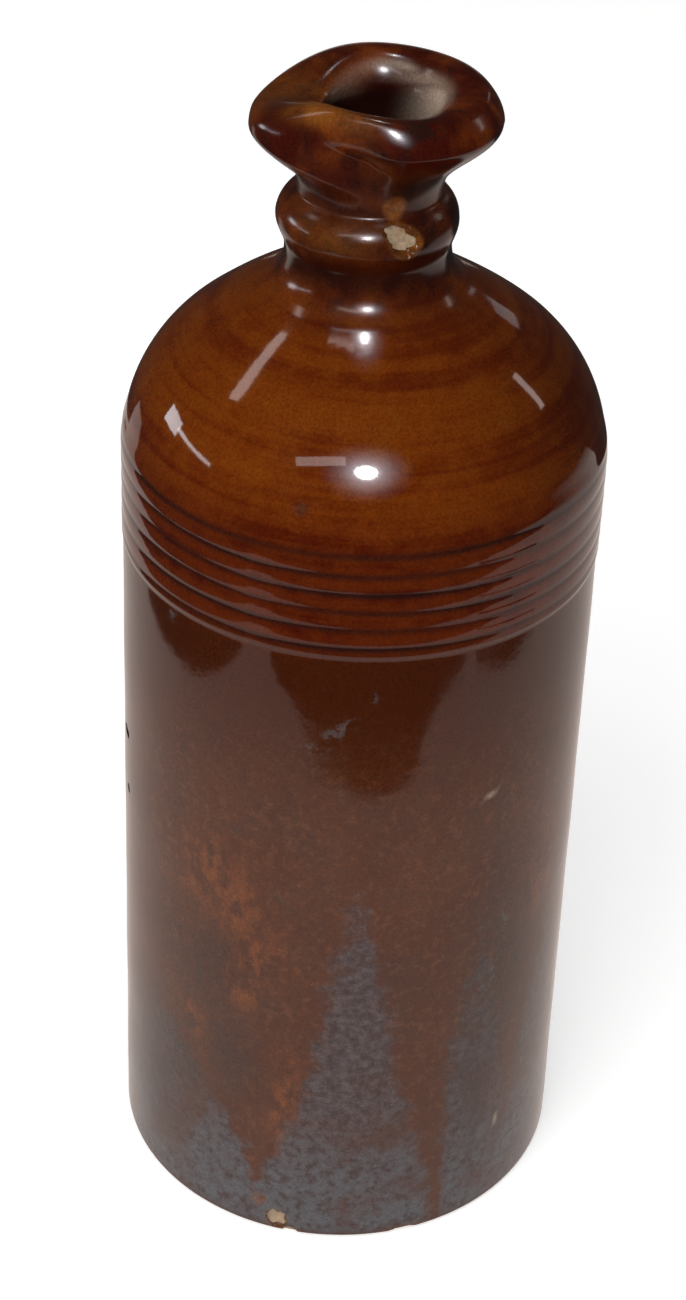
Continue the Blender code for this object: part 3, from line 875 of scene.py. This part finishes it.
def near_places(points, skin, normals, places, margin):
    """1 on a chip or beside it, fading to 0 at a margin beyond its edge."""
    mask = np.zeros(len(points))
    for angle, height, half_width, half_height, _, turn in places:
        centre, axes = chip_frame(skin, normals, angle, height, turn)
        local = (points - np.array(centre)) @ np.array(axes)
        size = np.hypot(local[:, 0] / half_width, local[:, 1] / half_height) / MM
        beyond = (size - 1.0) * min(half_width, half_height) * MM
        near = np.abs(local[:, 2]) < (half_width + half_height) * MM
        mask = np.maximum(mask, near * (1.0 - ease(beyond / margin)))
    return mask


def mouth_sheen_mask(from_mouth, side, height, in_throat, in_mouth, on_crest):
    """Painted reflection in the mouth: a pale sheen on its right wall and along its rim."""
    sheen_ring = MOUTH_RING - SHEEN_INSET
    rim = bell(from_mouth, sheen_ring, 1.1 * MM) * (0.5 + 0.5 * bell(side, 1.2, 0.9))
    rim = rim * ease((height - CREST_HEIGHT + 5.0 * MM) / (3.0 * MM))
    wall = ease((MOUTH_RING - from_mouth) / (2.0 * MM)) * bell(side, 0.1, 0.85)
    wall = wall * ease((height - GLAZE_END) / (3.0 * MM))
    right = np.maximum(0.5 * rim, wall) * in_throat * (in_mouth | (side > -1.0))
    back_ring = sheen_ring + SHEEN_WIDEN * ease((side - 0.6) / 1.2)
    back = (0.13 + 0.34 * bell(side, 1.35, 0.55)) * bell(from_mouth, back_ring, 0.65 * MM)
    back = back * ease((side - 0.9) / 0.5) * ease((2.95 - side) / 0.4) * on_crest
    return np.maximum(right, back)


def paint_glaze(mesh, skin, normals):
    """Paint all the masks that the glaze uses."""
    angle, height, radius, points = mesh_places(mesh)
    store_mask(mesh, "grey", grey_mask(angle, height))
    patches = (("fleck", FLECK_PATCHES, 1.0), ("shade", SHADE_PATCHES, 0.8), ("scuff", SCUFF_PATCHES, 0.9))
    for name, places, weight in patches:
        store_mask(mesh, name, patch_mask(angle, height, places, weight))
    store_mask(mesh, "ring", ring_mask(angle, height))

    mouth_x = points[:, 0] - MOUTH_MIDDLE[0]
    mouth_y = points[:, 1] - MOUTH_MIDDLE[1]
    from_mouth = np.hypot(mouth_x, mouth_y)
    side = np.arctan2(mouth_y, mouth_x)
    in_throat = (from_mouth < MOUTH_RING + 2.0 * MM) & (height > GLAZE_END - GLAZE_DEPTH)
    in_mouth = in_throat & (radius < WAIST_RADIUS)
    on_crest = height > CREST_HEIGHT - CREST_BAND
    # Painted shade in the throat, under the lip and down the right side, with some pooled glaze and the
    # darkened pits
    throat = 0.92 * in_mouth * ease((CREST_HEIGHT - 2.0 * MM - height) / (5.0 * MM))
    blot = 0.7 * on_crest * bell(side, 2.42, 0.16) * bell(from_mouth, 14.6 * MM, 1.5 * MM)
    shaded_and_pooled = np.maximum(mark_mask(angle, height, SHADE_AND_POOL_MARKS), blot) * ~in_mouth
    pits = near_places(points, skin, normals, PITS, 0.6 * MM)
    store_mask(mesh, "shade_and_pool", np.maximum.reduce([shaded_and_pooled, throat, pits]))
    store_mask(mesh, "red", mark_mask(angle, height, RED_MARKS) * ~in_mouth)

    thin = mark_mask(angle, height, THIN_MARKS) * ~in_mouth
    worn = 0.7 * near_places(points, skin, normals, WORN_SPOTS, 1.0 * MM)
    halo = 0.4 * near_places(points, skin, normals, CHIPS, 0.4 * MM)
    store_mask(mesh, "thin", np.maximum.reduce([thin, worn, halo]))
    # Painted reflection in the mouth, stored with the pale grazed marks
    sheen_and_grazes = mouth_sheen_mask(from_mouth, side, height, in_throat, in_mouth, on_crest)
    grazed = 0.6 * near_places(points, skin, normals, GRAZES, 0.5 * MM)
    store_mask(mesh, "sheen_and_grazes", np.maximum(sheen_and_grazes, grazed))


# Pieces

def make_bottle():
    """The glaze and the clay under it, both cut by the same chips."""
    outline = skin_outline()
    skin = shaped_skin(outline, TURN_STEPS)
    normals = grid_normals(skin)
    lip_row = int(np.argmax(outline[:, 1] > WAIST_HEIGHT))
    kept = np.append(np.arange(0, lip_row, INNER_EVERY), np.arange(lip_row, len(skin)))
    inner = skin[kept] - normals[kept] * GLAZE_DEPTH
    under = skin[kept] - normals[kept] * CLAY_INSET
    cutters = chip_cutters(skin, normals, CHIPS)

    glaze_mesh = grid_mesh("glaze", np.concatenate([skin, inner[::-1]]), wrapped=True)
    glaze_mesh = cut(glaze_mesh, cutters + chip_cutters(skin, normals, PITS))
    paint_glaze(glaze_mesh, skin, normals)
    glaze = add_piece("glaze", glaze_mesh, glaze_material())
    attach(glaze, "bottle")
    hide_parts("glaze_coat")

    foot_radius = BODY_RADIUS - CLAY_INSET - FOOT_EDGE
    foot = turned([(share * foot_radius, 0.0) for share in (0.02, 0.25, 0.5, 0.75, 1.0)], TURN_STEPS)
    inner_radius = BODY_RADIUS - WALL_THICKNESS
    inner_curve = SHOULDER_CURVE - WALL_THICKNESS
    corner_centre = (inner_radius - BASE_CORNER, BASE_THICKNESS + BASE_CORNER)
    hollow = np.concatenate([
        [(BORE_RADIUS, GLAZE_END - CLAY_INSET), (BORE_RADIUS, BORE_FOOT)],
        arc((ARC_CENTRE, WALL_HEIGHT), (inner_curve,) * 2, SHOULDER_TURN, 0.0, 12),
        arc(corner_centre, (BASE_CORNER,) * 2, 0.0, -math.pi / 2.0, 8),
        [(share * corner_centre[0], BASE_THICKNESS) for share in (0.5, 0.02)],
    ])
    clay_points = np.concatenate([foot, under, turned(hollow, TURN_STEPS)])
    clay_mesh = grid_mesh("clay", clay_points, poles=((0.0, 0.0, 0.0), (0.0, 0.0, BASE_THICKNESS)))
    clay_mesh = cut(clay_mesh, cutters)
    height, radius = mesh_places(clay_mesh)[1:3]
    in_bore = (radius < BORE_RADIUS + NECK_WALL / 2.0) & (height > BASE_THICKNESS / 2.0)
    in_body = (height > BASE_THICKNESS / 2.0) & (radius < body_radius_at(height) - WALL_THICKNESS / 2.0)
    store_mask(clay_mesh, "inside", 1.0 * (in_bore | (in_body & (height < WALL_HEIGHT))))
    clay = add_piece("clay", clay_mesh, clay_material())
    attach(clay, "bottle")
    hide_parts("stoneware_body")


CORK_STEPS = 120
CORK_TAPER = 0.7 * MM
CORK_CHAMFER = 0.8 * MM
CORK_CLEARANCE = 0.3 * MM
CORK_END_ROWS = 18
CORK_SIDE_ROWS = 44
PORE_DEPTH = 0.45 * MM
PORE_SCALE = (420.0, 190.0, 420.0)
PORE_LEVEL = 0.28  # a pore starts where the noise passes this
PORE_EDGE = 0.35  # and is full where it is this much above that


def make_cork():
    """The cork, with pores sunk into its side and ends."""
    top_radius = BORE_RADIUS - CORK_CLEARANCE
    low_radius = top_radius - CORK_TAPER
    low, high = CORK_LOW.z, CORK_HIGH.z
    shares = np.linspace(0.06, 1.0, CORK_END_ROWS)
    bottom = [(share * (low_radius - CORK_CHAMFER), low) for share in shares]
    side_low = (low_radius, low + CORK_CHAMFER)
    side = np.linspace(side_low, (top_radius, high - CORK_CHAMFER), CORK_SIDE_ROWS)
    top = [(share * (top_radius - CORK_CHAMFER), high) for share in shares[::-1]]
    points = turned(np.concatenate([bottom, side, top]), CORK_STEPS)
    normals = grid_normals(points)
    pores = np.zeros(points.shape[:2])
    for spot in np.ndindex(*pores.shape):
        pores[spot] = noise.fractal(Vector(points[spot] * PORE_SCALE), 0.8, 2.1, 4)
    depth = ease((pores - PORE_LEVEL) / PORE_EDGE)
    points = points - normals * (PORE_DEPTH * depth)[:, :, None]
    mesh = grid_mesh("cork", points, poles=((0.0, 0.0, low), (0.0, 0.0, high)))
    store_mask(mesh, "pore", np.append(depth.ravel(), (0.0, 0.0)))
    cork = add_piece("cork", mesh, cork_material())
    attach(cork, "stopper")
    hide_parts("cork_stopper")


# Stage, light and camera

FLOOR_RADIUS = 6.0
FLOOR_WHITE = (0.92, 0.92, 0.915)
FLOOR_LIFT = 0.45
# Corners of the bright sheet that the glaze mirrors, in mm
SHEET_CORNERS = (
    (300, 100), (330, 300), (0, 300), (-100, 340), (-300, 345), (-640, 620), (-740, 500), (-300, 180),
    (-235, 90), (-235, 5), (-210, -130), (-208, -168), (-222, -205), (-185, -225), (-157, -210),
    (-70, -210), (-15, -213), (105, -189), (157, -187), (186, -171), (225, -168), (207, -147),
    (220, -117), (250, -35), (254, -12),
)
# Corners of a second bright sheet to the right of it, in mm
SIDE_SHEET_CORNERS = (
    (215, -160), (281, -160), (900, 40), (900, 500), (330, 300), (300, 100), (254, -12), (261, -22),
    (259, -42), (244, -88), (231, -121),
)
SIDE_NEAR = 560.0 * MM  # it is as bright as the first up to this distance from the axis
SIDE_FAR = 900.0 * MM  # and fades out up to this one
# The first sheet is brightest up to one distance from the axis, and plain from the other on
SHEET_NEAR = 70.0 * MM
SHEET_FAR = 200.0 * MM
SHEET_GAIN = 1.15
# A bright wall far behind, in mm: left, right, distance and height
BACK_WALL = (-230, 230, 1100, 200)
SHEET_COLOUR = (1.0, 0.86, 0.79)
SHEET_LIGHT = 0.68
SHEET_LIFT = 0.5 * MM  # the sheets lie this far above the floor
SHEET_STEPS = 24
ROOM_RADIUS = 4.0
ROOM_ROWS = 24
ROOM_LIGHT = 0.03
ROOM_FAR_LIGHT = 0.024
SKY_LIGHT = 0.36
KEY_LIGHT = 0.84
KEY_PLACE = Vector((-0.48, -1.36, 1.44))
KEY_SIZE = 1.7
LAMP_DISTANCE = 0.9
LAMP_AIM = Vector((0.0, 0.0, 195.0 * MM))
WARM = (1.0, 0.86, 0.80)
COOL = (0.93, 0.96, 1.0)
# Strips that the glaze mirrors: ends as (azimuth, elevation), width in mm, brightness, colour
STRIPS = (
    ("bar_left", (156, 53), (176, 41), 80.0, 4.5, WARM),
    ("bar_front", (233, 34.4), (259, 41.5), 96.0, 4.0, WARM),
    ("bar_top", (174, 73), (206, 84), 34.0, 3.5, WARM),
    ("bar_right", (28, 35), (19, 21), 56.0, 3.5, WARM),
    ("window_left", (160, 7), (172, 8), 120.0, 7.0, COOL),
    ("window_edge", (171, 8), (196, 8), 30.0, 7.0, COOL),
    ("window_back", (53, 20), (60, 14), 60.0, 0.7, COOL),
)
# Round flash lamps: (azimuth, elevation), diameter in mm, brightness, radius of the glow in mm
FLASHES = (
    ("flash_front", (271, 35), 150.0, 50.0, 430.0),
    ("flash_top", (158, 88.8), 44.0, 120.0, 180.0),
)
# Glow round each flash
GLOW_LIGHT = 18.0
GLOW_POWER = 3.5  # how quickly it falls off
GLOW_BEHIND = 30.0 * MM
GLOW_COLOUR = (0.86, 0.90, 1.0)


def disc_mesh(name, radius):
    """A flat round mesh."""
    builder = bmesh.new()
    bmesh.ops.create_circle(builder, cap_ends=True, radius=radius, segments=96)
    mesh = bpy.data.meshes.new(name)
    builder.to_mesh(mesh)
    builder.free()
    return mesh


def glow_material(name, colour, inner, outer, inside, outside, power=1.0):
    """A glow with one strength near its middle and one far off."""
    material, tree, shader = start_material(name)
    away = node(tree, "VectorMath", {"Vector": object_place(tree)}, operation="LENGTH").outputs["Value"]
    reach = {"Value": away, "From Min": inner, "From Max": outer, "To Min": 1.0, "To Max": 0.0}
    near = sums("POWER", node(tree, "MapRange", reach).outputs["Result"], power)
    strength = sums("ADD", sums("MULTIPLY", near, inside - outside), outside)
    glow = node(tree, "Emission", {"Color": colour, "Strength": strength})
    tree.nodes.remove(shader)
    connect(tree.nodes["Material Output"], {"Surface": glow.outputs["Emission"]})
    return material


def make_floor():
    """A pale floor that keeps the bottle's shadow."""
    material, tree, shader = start_material("pale_floor")
    connect(shader, {
        "Base Color": FLOOR_WHITE,
        "Roughness": 0.9,
        "Specular IOR Level": 0.0,
        "Emission Color": WHITE,
        "Emission Strength": spread(seen_share(tree), 0.0, 1.0, 0.0, FLOOR_LIFT),
    })
    floor = add_piece("floor", disc_mesh("floor", FLOOR_RADIUS), material)


def seen_share(tree):
    """1 for rays that show the backdrop, straight or mirrored, and 0 for the rest."""
    ray = node(tree, "LightPath").outputs
    seen = sums("MAXIMUM", ray["Is Camera Ray"], ray["Is Glossy Ray"])
    return sums("MAXIMUM", seen, ray["Is Transmission Ray"])


def add_mirrored(name, mesh, material):
    """A piece of the stage that only shows in reflections."""
    piece = add_piece(name, mesh, material)
    for ray in ("camera", "diffuse", "transmission", "shadow"):
        setattr(piece, "visible_" + ray, False)
    return piece


def make_room():
    """The bright sheets and the dark room round the bottle, as the glaze mirrors them."""
    corners = [complex(*corner) * MM for corner in SHEET_CORNERS]
    sides = zip(corners, corners[1:] + corners[:1])
    rim = np.concatenate([np.linspace(start, end, SHEET_STEPS, endpoint=False) for start, end in sides])
    steps = len(rim)
    sheet_edge = np.stack([rim.real, rim.imag, np.full(steps, SHEET_LIFT)], axis=1)
    dome = arc((0.0, SHEET_LIFT), (ROOM_RADIUS,) * 2, 0.0, math.pi / 2.0 - 0.01, ROOM_ROWS)
    turn = np.angle(rim)
    rows = [np.stack([r * np.cos(turn), r * np.sin(turn), np.full(steps, z)], axis=1) for r, z in dome]
    room = grid_mesh("room", np.stack([sheet_edge] + rows))
    near_light = SHEET_LIGHT * SHEET_GAIN
    dark = glow_material("dark_room", WHITE, SHEET_FAR, ROOM_RADIUS, ROOM_LIGHT, ROOM_FAR_LIGHT)
    bright = glow_material("bright_sheet", SHEET_COLOUR, SHEET_NEAR, SHEET_FAR, near_light, SHEET_LIGHT)
    fading = glow_material("fading_sheet", SHEET_COLOUR, SIDE_NEAR, SIDE_FAR, SHEET_LIGHT, ROOM_LIGHT)
    add_mirrored("room", room, dark)
    side_points = [(x * MM, y * MM, 2.0 * SHEET_LIFT) for x, y in SIDE_SHEET_CORNERS]
    left, right, distance, high = (value * MM for value in BACK_WALL)
    wall_corners = ((left, SHEET_LIFT), (right, SHEET_LIFT), (right, high), (left, high))
    wall_points = [(x, distance, z) for x, z in wall_corners]
    cards = (
        ("sheet", sheet_edge.tolist(), bright),
        ("side_sheet", side_points, fading),
        ("back_wall", wall_points, bright),
    )
    for name, points, material in cards:
        card = bpy.data.meshes.new(name)
        card.from_pydata(points, [], [tuple(range(len(points)))])
        add_mirrored(name, card, material)


def direction(azimuth, elevation):
    """Unit vector towards an azimuth and elevation in degrees."""
    flat = math.cos(elevation * DEGREE)
    return Vector((
        flat * math.cos(azimuth * DEGREE),
        flat * math.sin(azimuth * DEGREE),
        math.sin(elevation * DEGREE),
    ))


def add_lamp(name, place, along, size, brightness, colour=WHITE, shape="RECTANGLE"):
    """An area lamp that faces the bottle. Its radiance is the brightness."""
    lamp = bpy.data.lights.new(name, "AREA")
    lamp.color = colour
    lamp.shape = shape
    lamp.size, lamp.size_y = size
    area = size[0] * size[1] * (math.pi / 4.0 if shape == "DISK" else 1.0)
    lamp.energy = brightness * math.pi * area
    back = (place - LAMP_AIM).normalized()
    side = (along - back * along.dot(back)).normalized()
    upward = back.cross(side)
    holder = bpy.data.objects.new(name, lamp)
    holder.matrix_world = Matrix.Translation(place) @ Matrix((side, upward, back)).transposed().to_4x4()
    bpy.context.scene.collection.objects.link(holder)
    return holder


def add_glow(name, place, radius):
    """A disc behind a flash lamp whose glow fades out towards its rim."""
    material = glow_material(name, GLOW_COLOUR, 0.0, radius, GLOW_LIGHT, 0.0, GLOW_POWER)
    disc = add_mirrored(name, disc_mesh(name, radius), material)
    back = (place - LAMP_AIM).normalized()
    facing = back.to_track_quat("Z", "Y").to_matrix().to_4x4()
    disc.matrix_world = Matrix.Translation(place + back * GLOW_BEHIND) @ facing


def make_lights():
    """Soft light from above and all round, and the lamps that the glaze mirrors."""
    distance = (KEY_PLACE - LAMP_AIM).length
    solid_angle = KEY_SIZE ** 2 / distance ** 2
    sideways = Vector((1.0, 0.0, 0.0))
    brightness = KEY_LIGHT * math.pi / solid_angle
    key = add_lamp("soft_key", KEY_PLACE, sideways, (KEY_SIZE,) * 2, brightness)
    key.visible_glossy = False
    for name, start, end, width, brightness, colour in STRIPS:
        first = direction(*start) * LAMP_DISTANCE
        last = direction(*end) * LAMP_DISTANCE
        size = ((last - first).length, width * MM)
        strip = add_lamp(name, LAMP_AIM + (first + last) / 2.0, last - first, size, brightness, colour)
        strip.visible_diffuse = False
    for name, where, width, brightness, glow in FLASHES:
        place = LAMP_AIM + direction(*where) * LAMP_DISTANCE
        flash = add_lamp(name, place, sideways, (width * MM,) * 2, brightness, shape="DISK")
        flash.visible_diffuse = False
        add_glow(name + "_glow", place, glow * MM)
    world = bpy.data.worlds.new("studio")
    bpy.context.scene.world = world
    world.use_nodes = True
    tree = world.node_tree
    strength = spread(seen_share(tree), 0.0, 1.0, SKY_LIGHT, 1.0)
    connect(tree.nodes["Background"], {"Color": WHITE, "Strength": strength})


def make_camera():
    """The camera at the photograph's place."""
    data = bpy.data.cameras.new("camera")
    data.sensor_width = SENSOR
    data.lens = FOCAL_PIXELS / PHOTO_HEIGHT * SENSOR
    data.clip_start = 0.01
    stance = Matrix.Translation(CAMERA_PLACE)
    for turn, axis in ((-CAMERA_YAW, "Z"), (math.pi / 2.0 - CAMERA_PITCH, "X"), (CAMERA_ROLL, "Z")):
        stance = stance @ Matrix.Rotation(turn, 4, axis)
    camera = bpy.data.objects.new("camera", data)
    camera.matrix_world = stance
    bpy.context.scene.collection.objects.link(camera)
    bpy.context.scene.camera = camera


make_camera()
make_bottle()
make_cork()
make_floor()
make_room()
make_lights()
bpy.context.scene.view_settings.view_transform = "Standard"
